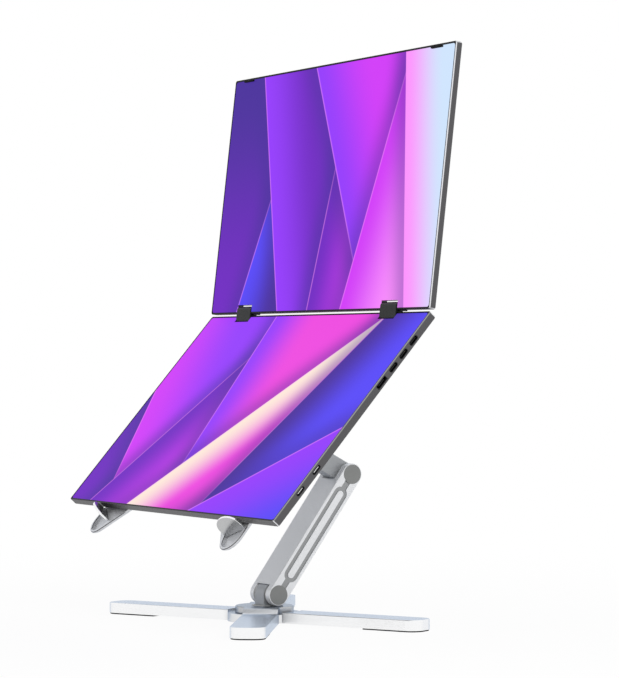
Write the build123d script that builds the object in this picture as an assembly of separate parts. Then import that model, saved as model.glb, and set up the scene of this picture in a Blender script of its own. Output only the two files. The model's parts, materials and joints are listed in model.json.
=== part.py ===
from build123d import *
import os
from dataclasses import dataclass
from math import cos, radians, sin

# Dual-screen portable monitor standing on its folding desk stand.
# Lengths are in millimetres and angles in degrees. X is the object's right, Y its back and Z up.
# The origin lies on the floor, under the pivot of the base.

# Fits and cuts
cut_over = 1.0            # how far a cut runs past the face that it opens
turn_fit = 0.04           # radial clearance of a pin that turns in its bore
seat_fit = 0.02           # radial clearance of a pin held fast in its seat
slide_gap = 0.3           # gap between faces that pass each other
drop_gap = 0.1            # gap round a piece that drops into its pocket

# Screens
screen_width = 358.5
screen_height = 200.6
screen_corner = 2.0
lower_thickness = 6.7
upper_thickness = 5.7
lower_tilt = 41.0         # how far the top of the lower screen leans back from the vertical
upper_tilt = 6.75
lower_back_wall = 0.9
upper_back_wall = 0.8
rim_width = 0.6           # metal edge seen round the front
rim_chamfer = 0.3
back_round = 1.0
edge_wall = 4.2           # side wall behind the ledge that carries the panel
cavity_corner = 1.5
ledge_depth = 0.95        # ledge below the front of the rim
bezel_width = 0.8
bezel_recess = 0.1
lcd_recess = 0.25
lower_backlight = 2.4
upper_backlight = 2.0
backlight_side_inset = 13.0
backlight_end_inset = 9.0

# Rear housing of the lower screen
bulge_depth = 1.2
bulge_side_inset = 49.0   # edges of the housing from the edges of the screen
bulge_base = 18.0
bulge_top_inset = 48.0
bulge_draft = 3.0
bulge_corner = 16.0
bulge_wall = 0.9

# Electronics
board_thickness = 0.8
main_board_width = 150.0
main_board_height = 62.0
main_board_shift = 30.0   # to the right of the middle of the housing
post_radius = 2.5
post_height = 0.7
post_inset = 6.0
driver_board_leaf_gap = 13.25     # left end from the leaf of the left hinge
driver_board_block_gap = 21.55    # right end from the block of the right hinge
driver_board_height = 18.0
driver_board_inset = 11.0
side_board_depth = 15.0   # of the port board and the button board, from the right wall
side_board_margin = 6.0
port_drops = (26.0, 39.0, 52.0)   # middles of the round-ended ports below the top edge
wide_port_drop = 67.0
port_length = 9.0
port_height = 3.2
port_depth = 7.3
port_shell = 0.35
port_recess = 0.4
port_back = 1.0
port_tongue_length = 6.6
port_tongue_height = 0.7
port_tongue_setback = 0.8
wide_port_length = 11.2
wide_port_bevel = 1.0
button_rises = (50.6, 30.6)       # middles of the keys above the bottom edge
button_length = 8.5
button_height = 2.6
button_recess = 0.25
button_travel = 0.5
flange_lap = 0.9
flange_thickness = 0.8
switch_size = 4.0
switch_height = 3.4
switch_play = 0.15

# Double-axis screen hinges
hinge_side_inset = 60.2   # middle of each block from the side of the screen
block_width = 25.0
block_radius = 3.2
block_round = 0.6
hinge_spacing = 8.3       # between the two axes of a block
lower_pivot_inset = 2.2   # axis below the top edge of the lower screen
upper_pivot_inset = 3.1   # axis above the bottom edge of the upper screen
hinge_pin_radius = 1.0
pin_end_inset = 0.5
notch_gap = 1.2
guard_wall = 1.2
barrel_radius = 1.75
barrel_length = 9.2
leaf_width = 28.0
leaf_reach = 19.0
leaf_foot = 12.0
leaf_thickness = 1.0
tab_reach = 0.9           # how far the upper leaf stands into the gap between the screens
tab_thickness = 2.4
rivet_radius = 0.8
rivet_head_radius = 1.7
rivet_head = 0.6
rivet_depth = 0.6
rivet_inset = 4.0

# Bumpers on the upper screen
bumper_side_inset = 26.5
bumper_length = 16.0
bumper_width = 1.4
bumper_height = 1.3
bumper_drop = 2.4

# Base
foot_height = 1.0
foot_length = 48.0
foot_inset = 0.6
beam_angle = 30.5         # of each beam from the middle of the cross
cross_turn_angle = -2.3   # of the whole cross from the screen's width
beam_length = 294.0
beam_width = 27.0
beam_height = 8.2
beam_corner = 10.0
beam_round = 0.8
boss_radius = 29.0
boss_height = 6.6
hub_thickness = 5.1
hub_radius = 23.0
hub_length = 62.0         # flat top of the bridge along its beam
hub_slope = 9.0
hub_blend = 9.0
hub_fillet = 10.0
hub_round = 1.0
pivot_radius = 3.0
pivot_head_radius = 5.5
pivot_head_height = 3.0
pivot_reach = 4.0         # thread in the knuckle
centre_foot_radius = 9.0
washer_inner = 7.0
washer_outer = 18.0
washer_thickness = 0.8
washer_proud = 0.2
swivel_washer_radius = 10.0

# Arms
knuckle_setback = 4.0     # hinge axis behind the pivot of the base
knuckle_width = 14.4
arm_width = 32.6
arm_radius = 8.5
arm_cheek = 6.2
arm_web = 3.5
arm_round = 0.8
lower_arm_length = 114.1
lower_arm_angle = 35.4    # how far the arm leans back from the vertical
web_lower_end = 4.0       # ends of the web from the two axes
web_upper_end = 9.9
web_end_slope = 0.9
upper_arm_length = 74.2
upper_arm_angle = -61.6
upper_arm_width = 14.4
upper_arm_radius = 8.25
shaft_radius = 3.5
cap_radius = 7.6
cap_thickness = 1.2
cap_proud = 0.2
groove_depth = 0.8
groove_width = 3.2
groove_radius = 5.9       # outer radius of the ring groove
groove_end = 19.0         # centre of the ring's end from the axis
groove_neck = 5.0
hinge_washer_radius = 7.5

# Tray
tray_rise = 21.5          # front of the tray above its hinge axis
tray_thickness = 3.0
tray_top = 44.4           # top edge above the axis
tray_top_width = 222.0
tray_corner = 12.0
tray_apex_drop = 13.6
tray_apex_round = 16.0
tray_round = 0.6
tray_chamfer = 1.4        # round the back
screen_drop = 105.6       # bottom edge of the lower screen below the axis
pad_height = 1.0
pad_width = 9.0
pad_length = 56.0
pad_top_inset = 14.0
pad_spread = 56.0
pad_low_spread = 66.0
pad_low_drop = 50.0
pad_low_turn = 47.0
bracket_width = 44.0
bracket_plate = 3.0
bracket_low = 12.0
bracket_high = 30.0
bracket_ear = 4.0
ear_radius = 8.0
ear_foot = 26.0
tray_washer = 1.2
tray_cap_radius = 6.0
tray_cap_height = 2.6
screw_radius = 1.9
screw_head_radius = 3.4
screw_head = 1.8
screw_depth = 2.2
screw_side_inset = 5.0
screw_end_inset = 6.0

# Hooks
hook_spread = 113.0       # middle of each hook from the middle of the tray
hook_splay = 28.0
hook_width = 20.5
hook_height = 14.8        # above the front of the tray
hook_thickness = 2.0
hook_round = 0.5
hook_clear = 0.15
tip_rim = 2.0
thumb_radius = 3.0
thumb_share = 0.4         # of the rim that the thumb's notch takes
hook_pin_radius = 0.7
hook_pin_inset = 0.6

RIGHT = Vector(1, 0, 0)


def lean(angle):
    """Direction that leans back from the vertical by an angle."""
    return Vector(0, sin(radians(angle)), cos(radians(angle)))


def front_of(tilt):
    """Direction out of the front of a panel that leans back by an angle."""
    return Vector(0, -cos(radians(tilt)), sin(radians(tilt)))


def side_frame(origin, along):
    """Frame of a side profile: x runs along it, z is the object's right."""
    return Plane(origin=origin, x_dir=along, z_dir=RIGHT).location


def face_frame(origin, tilt):
    """Frame of a panel: x is the object's right, y runs up its face, z out of its front."""
    return Plane(origin=origin, x_dir=RIGHT, z_dir=front_of(tilt)).location


def brick(x0, x1, y0, y1, z0, z1):
    """Box between two corners."""
    middle = Pos((x0 + x1) / 2, (y0 + y1) / 2, (z0 + z1) / 2)
    return middle * Box(abs(x1 - x0), abs(y1 - y0), abs(z1 - z0))


def slab(sketch, low, high):
    """Sketch in the XY plane made solid between two heights."""
    return Pos(0, 0, low) * extrude(sketch, amount=high - low)


def rod(radius, x0, x1, y=0, z=0):
    """Round bar along X."""
    return Pos((x0 + x1) / 2, y, z) * Rot(0, 90, 0) * Cylinder(radius, abs(x1 - x0))


def along_x(sketch, x0, x1, y, z):
    """Sketch made solid along X; its x is depth and its y is height on the side of a screen."""
    return Pos(x0, y, z) * Rot(0, 90, 0) * extrude(sketch, amount=x1 - x0)


def across(sketch, low, high):
    """Side profile made solid across the object, between two distances to the right."""
    return Pos(0, 0, low) * extrude(sketch, amount=high - low)


def both_sides(sketch, width):
    """Side profile made solid evenly to both sides of the middle."""
    return across(sketch, -width / 2, width / 2)


def group(*solids):
    """Separate solids that share a node."""
    return Compound(children=list(solids))


# Heights in the base
beam_low = foot_height
beam_top = beam_low + beam_height
boss_top = beam_low + boss_height
hub_low = boss_top + slide_gap
hub_top = hub_low + hub_thickness
knuckle_low = hub_top + washer_proud
base_turn = cross_turn_angle - beam_angle
cross_turn = cross_turn_angle + beam_angle

# Axes of the stand and places of the panels
base_axis = Vector(0, knuckle_setback, hub_top + slide_gap + arm_radius)
elbow_axis = base_axis + lean(lower_arm_angle) * lower_arm_length
tray_axis = elbow_axis + lean(upper_arm_angle) * upper_arm_length
tray_front = tray_axis + front_of(lower_tilt) * tray_rise
lower_stack = lower_thickness + bulge_depth + drop_gap + pad_height
lower_origin = tray_front + front_of(lower_tilt) * lower_stack - lean(lower_tilt) * screen_drop
lower_pivot = (lower_origin + lean(lower_tilt) * (screen_height - lower_pivot_inset)
               - front_of(lower_tilt) * (lower_thickness / 2))
upper_pivot = lower_pivot + lean(upper_tilt) * hinge_spacing
upper_origin = (upper_pivot - lean(upper_tilt) * upper_pivot_inset
                + front_of(upper_tilt) * (upper_thickness / 2))
cheek_gap = arm_width - 2 * arm_cheek
bulge_width = screen_width - 2 * bulge_side_inset
bulge_height = screen_height - bulge_base - bulge_top_inset
hook_drop = (screen_drop + hook_width / 2 * sin(radians(hook_splay))
             + hook_thickness / 2 * cos(radians(hook_splay)) + hook_clear)


@dataclass
class Screen:
    """What differs between the two screens."""
    frame: Location
    thickness: float
    back_wall: float
    backlight: float
    pivot_inset: float
    hinge_at_top: bool

    @property
    def floor(self):
        return self.back_wall - self.thickness

    @property
    def notch_depth(self):
        return self.pivot_inset + block_radius + notch_gap

    def edge(self, depth):
        """Height on the screen at a depth from the edge that carries the hinges."""
        return screen_height - depth if self.hinge_at_top else depth


lower = Screen(face_frame(lower_origin, lower_tilt), lower_thickness, lower_back_wall, lower_backlight,
               lower_pivot_inset, True)
upper = Screen(face_frame(upper_origin, upper_tilt), upper_thickness, upper_back_wall, upper_backlight,
               upper_pivot_inset, False)
hinge_offset = screen_width / 2 - hinge_side_inset
hinge_places = (-hinge_offset, hinge_offset)


# Screens

def screen_sheet(inset, corner):
    """Outline of the screen drawn in by an inset."""
    outline = RectangleRounded(screen_width - 2 * inset, screen_height - 2 * inset, corner)
    return Pos(0, screen_height / 2) * outline


def hinge_notches(screen):
    """Room for the hinge blocks, cut right through the screen."""
    half = block_width / 2 + slide_gap
    return [brick(x - half, x + half, screen.edge(-cut_over), screen.edge(screen.notch_depth),
                  -screen.thickness - cut_over, cut_over) for x in hinge_places]


def barrel_pockets(screen):
    """Slots in the edge for the barrels of the hinge leaves, beside the notches."""
    start = block_width / 2
    end = start + 2 * slide_gap + barrel_length
    return [brick(x + start, x + end, screen.edge(-cut_over), screen.edge(edge_wall + cut_over),
                  screen.floor, -ledge_depth) for x in hinge_places]


def notch_guards(screen):
    """Walls that close the case round the notches."""
    half = block_width / 2 + slide_gap
    return [brick(x - half - guard_wall, x + half, screen.edge(edge_wall / 2),
                  screen.edge(screen.notch_depth + guard_wall), screen.floor, -ledge_depth)
            for x in hinge_places]


def case(screen):
    """Rear cover: a thin tray with a rim, a ledge for the panel and notches for the hinges."""
    block = slab(screen_sheet(0, screen_corner), -screen.thickness, 0)
    block = chamfer(block.faces().sort_by(Axis.Z)[-1].edges(), rim_chamfer)
    block = fillet(block.faces().sort_by(Axis.Z)[0].edges(), back_round)
    rim_room = slab(screen_sheet(rim_width, screen_corner - rim_width), -ledge_depth, cut_over)
    cavity = slab(screen_sheet(edge_wall, cavity_corner), screen.floor, -ledge_depth + cut_over)
    return block - rim_room - cavity + notch_guards(screen) - hinge_notches(screen) - barrel_pockets(screen)


def bulge_form(inset, low, high):
    """Rear housing of the lower screen, drawn in by an inset, between two depths."""
    def outline(depth):
        draw = inset + bulge_draft * depth / bulge_depth
        size = RectangleRounded(bulge_width - 2 * draw, bulge_height - 2 * draw, bulge_corner - inset)
        return Pos(0, bulge_base + bulge_height / 2, -lower.thickness - depth) * size
    return loft([outline(low), outline(high)])


def side_openings():
    """Openings in the right wall for the ports and the keys."""
    inner = screen_width / 2 - edge_wall - cut_over
    outer = screen_width / 2 + cut_over
    middle = -lower.thickness / 2
    port = SlotOverall(port_length + 2 * drop_gap, port_height + 2 * drop_gap, rotation=90)
    wide = Rectangle(port_height + 2 * drop_gap, wide_port_length + 2 * drop_gap)
    key = SlotOverall(button_length + 2 * drop_gap, button_height + 2 * drop_gap, rotation=90)
    cuts = [along_x(port, inner, outer, screen_height - drop, middle) for drop in port_drops]
    cuts += [along_x(wide, inner, outer, screen_height - wide_port_drop, middle)]
    cuts += [along_x(key, inner, outer, rise, middle) for rise in button_rises]
    return cuts


def board_places():
    """Posts under the corners of the main board."""
    dx = main_board_width / 2 - post_inset
    dy = main_board_height / 2 - post_inset
    middle = bulge_base + bulge_height / 2
    return [(main_board_shift + sx * dx, middle + sy * dy) for sx in (-1, 1) for sy in (-1, 1)]


def lower_rear_cover():
    """Rear cover of the lower screen with its raised housing, ports and key openings."""
    floor = bulge_wall - bulge_depth
    hollow = bulge_form(bulge_wall, -lower.back_wall - cut_over, -floor)
    housing = bulge_form(0, 0, bulge_depth)
    posts = [Pos(x, y, -lower.thickness + floor) * Cylinder(post_radius, post_height, align=BASE)
             for x, y in board_places()]
    return case(lower) + housing - hollow - side_openings() + posts


def bezel(screen):
    """Black frame that covers the edge of the panel."""
    outer = screen_sheet(rim_width + drop_gap, screen_corner - rim_width)
    inner = screen_sheet(rim_width + bezel_width, cavity_corner)
    return slab(outer - inner, -ledge_depth, -bezel_recess) - hinge_notches(screen)


def lcd_panel(screen):
    """Display panel inside the bezel, carried by the ledge."""
    sheet = screen_sheet(rim_width + bezel_width + drop_gap, cavity_corner)
    return slab(sheet, -ledge_depth, -lcd_recess) - hinge_notches(screen)


def backlight(screen):
    """Light guide and its reflector behind the panel."""
    side = screen_width / 2 - backlight_side_inset
    low = backlight_end_inset
    return brick(-side, side, low, screen_height - low, -ledge_depth - screen.backlight, -ledge_depth)


# Electronics

def main_board():
    """Board in the rear housing, on its four posts."""
    low = -lower.thickness - bulge_depth + bulge_wall + post_height
    middle = bulge_base + bulge_height / 2
    half = main_board_height / 2
    return brick(main_board_shift - main_board_width / 2, main_board_shift + main_board_width / 2,
                 middle - half, middle + half, low, low + board_thickness)


def side_board(rises, outer):
    """Small board on the floor of the case, inside the right wall."""
    return brick(outer - side_board_depth, outer, min(rises) - side_board_margin,
                 max(rises) + side_board_margin, lower.floor, lower.floor + board_thickness)


def port_board():
    """Board that carries the ports."""
    rises = [screen_height - drop for drop in port_drops + (wide_port_drop,)]
    return side_board(rises, wall_face())


def port_socket(outline, hollow, drop):
    """Metal shell with its tongue, open at the side of the screen."""
    outer = screen_width / 2 - port_recess
    inner = outer - port_depth
    place = (screen_height - drop, -lower.thickness / 2)
    tongue = Rectangle(port_tongue_height, port_tongue_length)
    shell = along_x(outline, inner, outer, *place)
    shell -= along_x(hollow, inner + port_back, outer + cut_over, *place)
    return shell + along_x(tongue, inner, outer - port_tongue_setback, *place)


def usb_c_ports():
    """The three round-ended ports."""
    outline = SlotOverall(port_length, port_height, rotation=90)
    hollow = SlotOverall(port_length - 2 * port_shell, port_height - 2 * port_shell, rotation=90)
    return group(*[port_socket(outline, hollow, drop) for drop in port_drops])


def hdmi_port():
    """The wide port, with its two bevelled corners to the back."""
    def outline(wall):
        form = Rectangle(port_height - 2 * wall, wide_port_length - 2 * wall)
        return chamfer(form.vertices().group_by(Axis.X)[-1], wide_port_bevel)
    return port_socket(outline(0), outline(port_shell), wide_port_drop)


def button_board():
    """Board that carries the two switches."""
    return side_board(button_rises, switch_face())


def wall_face():
    """Just inside the right wall of the case."""
    return screen_width / 2 - edge_wall - drop_gap


def switch_face():
    """Front of the switches, behind the pressed keys."""
    return wall_face() - flange_thickness - button_travel - switch_play


def button_switches():
    """Push switches behind the keys."""
    outer = switch_face()
    low = lower.floor + board_thickness
    half = switch_size / 2
    return group(*[brick(outer - switch_size, outer, rise - half, rise + half, low, low + switch_height)
                   for rise in button_rises])


def button(rise):
    """Key with the flange that keeps it in the wall."""
    place = (rise, -lower.thickness / 2)
    key = SlotOverall(button_length, button_height, rotation=90)
    flange = Rectangle(button_height + 2 * flange_lap, button_length + 2 * flange_lap)
    inner = wall_face() - flange_thickness
    stem = along_x(key, inner, screen_width / 2 - button_recess, *place)
    return stem + along_x(flange, inner, wall_face(), *place)


def driver_board():
    """Board at the foot of the upper screen."""
    left = leaf_start(-hinge_offset) + leaf_width + driver_board_leaf_gap
    right = hinge_offset - block_width / 2 - driver_board_block_gap
    return brick(left, right, driver_board_inset, driver_board_inset + driver_board_height,
                 upper.floor, upper.floor + board_thickness)


# Screen hinges

def leaf_start(x):
    """Right face of the running gap beside a hinge block."""
    return x + block_width / 2 + slide_gap


def hinge_leaf(screen, x):
    """Steel leaf: a barrel on the axis and a foot on the floor of the case."""
    start = leaf_start(x)
    end = start + barrel_length
    axis = screen.edge(screen.pivot_inset)
    middle = -screen.thickness / 2
    top = screen.floor + leaf_thickness
    barrel = rod(barrel_radius, start, end, axis, middle)
    web = brick(start, end, axis, screen.edge(screen.pivot_inset + barrel_radius), screen.floor, middle)
    strap = brick(start, end, axis, screen.edge(leaf_reach), screen.floor, top)
    foot = brick(start, start + leaf_width, screen.edge(leaf_reach - leaf_foot), screen.edge(leaf_reach),
                 screen.floor, top)
    leaf = barrel + web + strap + foot
    if not screen.hinge_at_top:
        leaf += brick(start, end, screen.edge(-tab_reach), axis, middle - tab_thickness / 2,
                      middle + tab_thickness / 2)
    leaf -= rod(hinge_pin_radius + seat_fit, start - cut_over, end + cut_over, axis, middle)
    return leaf - [rivet_shank(screen, place, seat_fit) for place in rivet_places(screen, x)]


def rivet_places(screen, x):
    """Two rivets through the foot of a leaf."""
    start = leaf_start(x)
    height = screen.edge(leaf_reach - leaf_foot / 2)
    return [(start + rivet_inset, height), (start + leaf_width - rivet_inset, height)]


def rivet_shank(screen, place, fit):
    """Shank of a rivet, sunk in the wall of the case."""
    low = screen.floor - rivet_depth
    length = rivet_depth + leaf_thickness
    return Pos(*place, low) * Cylinder(rivet_radius + fit, length, align=BASE)


def hinge_rivets(screen):
    """Rivets that hold the leaves to the case."""
    heads = []
    for x in hinge_places:
        for place in rivet_places(screen, x):
            low = screen.floor + leaf_thickness
            head = Pos(*place, low) * Cylinder(rivet_head_radius, rivet_head, align=BASE)
            heads.append(head + rivet_shank(screen, place, 0))
    return group(*heads)


def rivet_holes(screen):
    """Blind holes for the rivets in the wall of the case."""
    return [rivet_shank(screen, place, seat_fit) for x in hinge_places for place in rivet_places(screen, x)]


def hinge_leaves(screen):
    """The leaves of both hinges in one screen."""
    return group(*[hinge_leaf(screen, x) for x in hinge_places])


def hinge_pins(screen):
    """Pins that join the leaves of one screen to the blocks."""
    axis = screen.edge(screen.pivot_inset)
    start = block_width / 2 - pin_end_inset
    return group(*[rod(hinge_pin_radius, x - start, leaf_start(x) + barrel_length - pin_end_inset, axis,
                       -screen.thickness / 2) for x in hinge_places])


def hinge_block(x):
    """Block that turns on a pin in each screen."""
    profile = Pos(hinge_spacing / 2, 0) * SlotCenterToCenter(hinge_spacing, 2 * block_radius)
    solid = across(profile, x - block_width / 2, x + block_width / 2)
    ends = solid.faces().filter_by(Axis.Z)
    solid = fillet(ends.edges(), block_round)
    bore = Circle(hinge_pin_radius + turn_fit)
    low = x - block_width / 2 - cut_over
    high = x + block_width / 2 + cut_over
    return solid - across(bore, low, high) - across(Pos(hinge_spacing, 0) * bore, low, high)


def upper_bumpers():
    """Rubber bumpers that keep the closed screens apart."""
    form = RectangleRounded(bumper_length, bumper_width, bumper_width / 2 - drop_gap)
    height = screen_height - bumper_drop
    side = screen_width / 2 - bumper_side_inset
    return group(*[slab(Pos(x, height) * form, -lcd_recess, bumper_height) for x in (-side, side)])


# Base

def beam_plan():
    """Outline of a beam from above."""
    return RectangleRounded(beam_length, beam_width, beam_corner)


def foot_pads(turn):
    """Rubber pads under the two ends of a beam."""
    outline = offset(beam_plan(), -foot_inset)
    solids = []
    for side in (-1, 1):
        middle = side * (beam_length - foot_length) / 2
        pad = outline & (Pos(middle, 0) * Rectangle(foot_length, beam_width))
        solids.append(Rot(0, 0, turn) * slab(pad, 0, beam_low))
    return group(*solids)


def bridge_profile():
    """Side view of the upper beam, with its raised middle."""
    half = beam_length / 2
    flat = hub_length / 2
    points = [(-half, 0), (half, 0), (half, beam_height), (flat + hub_slope, beam_height),
              (flat, hub_top - beam_low), (-flat, hub_top - beam_low), (-flat - hub_slope, beam_height),
              (-half, beam_height)]
    outline = make_face(Polyline(*points, close=True))
    bends = [v for v in outline.vertices() if abs(v.X) < half - hub_slope and v.Y > 0]
    return fillet(bends, hub_blend)


def hub_plan():
    """Outline of the hub from above: a disc that flows into the beam."""
    form = Circle(hub_radius) + Rectangle(hub_length, beam_width)
    corners = [v for v in form.vertices() if abs(v.X) < hub_length / 2 - cut_over]
    return fillet(corners, hub_fillet)


def base_beam():
    """Upper beam of the base, which bridges the lower one with a raised hub."""
    bar = Plane.XZ * extrude(bridge_profile(), amount=beam_width / 2, both=True)
    bar = Pos(0, 0, beam_low) * bar & slab(beam_plan(), 0, hub_top + cut_over)
    hub = slab(hub_plan(), hub_low, hub_top)
    hub = fillet(hub.faces().sort_by(Axis.Z)[-1].edges(), hub_round)
    room = slab(Circle(boss_radius + slide_gap), 0, hub_low)
    bore = slab(Circle(pivot_radius + turn_fit), 0, hub_top + cut_over)
    seat = slab(Circle(swivel_washer_radius + drop_gap), hub_top + washer_proud - washer_thickness,
                hub_top + cut_over)
    return Rot(0, 0, base_turn) * (bar + hub - room - bore - seat)


def cross_beam():
    """Lower beam of the base, with the round boss that turns under the hub."""
    bar = slab(beam_plan(), beam_low, beam_top)
    bar = fillet(bar.faces().sort_by(Axis.Z)[-1].edges(), beam_round)
    bar -= slab(Circle(boss_radius), boss_top, beam_top + cut_over)
    boss = slab(Circle(boss_radius), beam_low, boss_top)
    bore = slab(Circle(pivot_radius + turn_fit), 0, boss_top + cut_over)
    head_room = slab(Circle(pivot_head_radius + slide_gap), 0, pivot_head_top() + drop_gap)
    washer_seat = slab(Circle(washer_outer + drop_gap) - Circle(washer_inner - drop_gap),
                       boss_top + washer_proud - washer_thickness, boss_top + cut_over)
    return Rot(0, 0, cross_turn) * (bar + boss - bore - head_room - washer_seat)


def pivot_head_top():
    """Top of the head of the pivot bolt."""
    return beam_low + drop_gap + pivot_head_height


def pivot_bolt():
    """Bolt that joins both beams to the knuckle."""
    head = slab(Circle(pivot_head_radius), beam_low + drop_gap, pivot_head_top())
    return head + slab(Circle(pivot_radius), pivot_head_top(), knuckle_low + pivot_reach)


def pivot_washer():
    """Sliding ring between the beams."""
    ring = Circle(washer_outer) - Circle(washer_inner)
    return slab(ring, boss_top + washer_proud - washer_thickness, boss_top + washer_proud)


def swivel_washer():
    """Sliding disc under the knuckle."""
    ring = Circle(swivel_washer_radius) - Circle(pivot_radius + drop_gap)
    return slab(ring, hub_top + washer_proud - washer_thickness, hub_top + washer_proud)


def centre_foot():
    """Rubber disc under the pivot."""
    return slab(Circle(centre_foot_radius), 0, beam_low)


def swivel_knuckle():
    """Lug that stands on the hub and carries the lower arm."""
    rise = base_axis.Z - knuckle_low
    profile = Circle(arm_radius) + Pos(0, -rise / 2) * Rectangle(2 * arm_radius, rise)
    lug = side_frame(base_axis, Vector(0, 1, 0)) * both_sides(profile, knuckle_width)
    thread = slab(Circle(pivot_radius + seat_fit), 0, knuckle_low + pivot_reach)
    axle = rod(shaft_radius + turn_fit, -arm_width, arm_width, base_axis.Y, base_axis.Z)
    return lug - thread - axle


# Arms

def arm_ends():
    """The two axes of the lower arm, along it."""
    return (0, lower_arm_length)


def ring_groove():
    """Groove on a cheek: a long ring with a neck towards each axis."""
    inner = groove_radius - groove_width
    length = lower_arm_length - 2 * groove_end
    ring = SlotCenterToCenter(length, 2 * groove_radius) - SlotCenterToCenter(length, 2 * inner)
    gap = length + 2 * inner + groove_width
    necks = Rectangle(lower_arm_length, groove_neck) - Rectangle(gap, groove_neck)
    return Pos(lower_arm_length / 2, 0) * (ring + necks)


def lower_arm():
    """Channel-shaped arm: two cheeks and a web on the front, with grooved outer faces."""
    profile = Pos(lower_arm_length / 2, 0) * SlotCenterToCenter(lower_arm_length, 2 * arm_radius)
    arm = both_sides(profile, arm_width)
    arm = fillet(arm.faces().filter_by(Axis.Z).edges(), arm_round)
    start = -arm_radius - cut_over
    end = lower_arm_length + arm_radius + cut_over
    inside = arm_radius - arm_web
    low = -arm_radius - cut_over
    front = arm_radius + cut_over
    web_top = lower_arm_length - web_upper_end
    room = Polyline((start, low), (end, low), (end, front), (web_top - web_end_slope, front),
                    (web_top, inside), (web_lower_end, inside), (web_lower_end, front), (start, front),
                    close=True)
    arm -= both_sides(make_face(room), cheek_gap)
    arm -= both_sides(Circle(arm_radius + slide_gap), cheek_gap)
    outer = arm_width / 2
    for side in (-1, 1):
        arm -= across(ring_groove(), side * (outer - groove_depth), side * (outer + cut_over))
        for place in arm_ends():
            seat = Pos(place, 0) * Circle(cap_radius + drop_gap)
            arm -= across(seat, side * (outer - cap_thickness + cap_proud), side * (outer + cut_over))
    for place in arm_ends():
        arm -= both_sides(Pos(place, 0) * Circle(shaft_radius + seat_fit), arm_width)
    return lower_arm_frame * arm


def arm_shaft(place):
    """Steel shaft through both cheeks, hidden by the caps."""
    length = arm_width - 2 * (cap_thickness - cap_proud)
    return lower_arm_frame * both_sides(Pos(place, 0) * Circle(shaft_radius), length)


def arm_caps():
    """Round covers over the ends of both shafts."""
    face = arm_width / 2 + cap_proud
    discs = []
    for place in arm_ends():
        for side in (-1, 1):
            disc = across(Pos(place, 0) * Circle(cap_radius), side * (face - cap_thickness), side * face)
            discs.append(lower_arm_frame * disc)
    return group(*discs)


def ring_pair(frame, inner, outer, low, high):
    """Two friction washers round an axis, one on each side."""
    ring = Circle(outer) - Circle(inner)
    return group(*[frame * across(ring, side * low, side * high) for side in (-1, 1)])


def arm_washers(axis, link_width):
    """Friction washers between a link and the cheeks."""
    frame = side_frame(axis, lean(lower_arm_angle))
    return ring_pair(frame, shaft_radius + drop_gap, hinge_washer_radius, link_width / 2 + drop_gap,
                     cheek_gap / 2)


def upper_arm():
    """Solid link between the elbow and the tray."""
    profile = Pos(upper_arm_length / 2, 0) * SlotCenterToCenter(upper_arm_length, 2 * upper_arm_radius)
    link = both_sides(profile, upper_arm_width)
    link = fillet(link.faces().filter_by(Axis.Z).edges(), arm_round)
    bore = Circle(shaft_radius + turn_fit)
    for place in (0, upper_arm_length):
        link -= both_sides(Pos(place, 0) * bore, arm_width)
    return side_frame(elbow_axis, lean(upper_arm_angle)) * link


# Tray

def ear_inner():
    """Inner face of the bracket's ears."""
    return upper_arm_width / 2 + tray_washer + drop_gap


def bracket_screw_places():
    """Screws at the corners of the bracket's plate: to the right, and above the axis."""
    dx = bracket_width / 2 - screw_side_inset
    return [(sx * dx, up) for sx in (-1, 1) for up in (screw_end_inset - bracket_low,
                                                       bracket_high - screw_end_inset)]


def screw_shank(place, fit):
    """Shank of a bracket screw, from the plate into the tray."""
    low = -tray_thickness - bracket_plate
    return Pos(*place, low) * Cylinder(screw_radius + fit, bracket_plate + screw_depth, align=BASE)


def tray_bracket():
    """Clevis on the back of the tray: a plate with two ears."""
    top = tray_rise - tray_thickness
    plate = brick(-bracket_low, bracket_high, top - bracket_plate, top, -bracket_width / 2, bracket_width / 2)
    outline = Circle(ear_radius) + Pos(0, top - bracket_plate / 2) * Rectangle(ear_foot, bracket_plate)
    ear = make_hull(outline.edges())
    bracket = plate
    for side in (-1, 1):
        bracket += across(ear, side * ear_inner(), side * (ear_inner() + bracket_ear))
    bracket -= both_sides(Circle(shaft_radius + seat_fit), arm_width)
    solid = side_frame(tray_axis, lean(lower_tilt)) * bracket
    return solid - [tray_frame * screw_shank(place, seat_fit) for place in bracket_screw_places()]


def tray_shaft():
    """Steel shaft through the ears of the bracket."""
    length = 2 * (ear_inner() + bracket_ear)
    return side_frame(tray_axis, lean(lower_tilt)) * both_sides(Circle(shaft_radius), length)


def tray_caps():
    """Round nuts on the ends of the tray's shaft."""
    face = ear_inner() + bracket_ear
    frame = side_frame(tray_axis, lean(lower_tilt))
    return group(*[frame * across(Circle(tray_cap_radius), side * face, side * (face + tray_cap_height))
                   for side in (-1, 1)])


def tray_washers():
    """Friction washers between the upper arm and the ears."""
    frame = side_frame(tray_axis, lean(lower_tilt))
    return ring_pair(frame, shaft_radius + drop_gap, ear_radius - drop_gap, ear_inner() - tray_washer,
                     ear_inner())


def bracket_screws():
    """Screws that hold the bracket to the tray."""
    solids = []
    for place in bracket_screw_places():
        top = -tray_thickness - bracket_plate
        head = Pos(*place, top - screw_head) * Cylinder(screw_head_radius, screw_head, align=BASE)
        solids.append(tray_frame * (head + screw_shank(place, 0)))
    return group(*solids)


def hook_frame(side):
    """Frame of a hook: x along its pin, y towards the screen, z out of the front of the tray."""
    return Pos(side * hook_spread, -hook_drop, -hook_thickness / 2) * Rot(0, 0, side * hook_splay)


def hook_straight():
    """Straight part of a hook, from the pin to the centre of its round end."""
    return hook_height + hook_thickness / 2 - hook_width / 2


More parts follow.
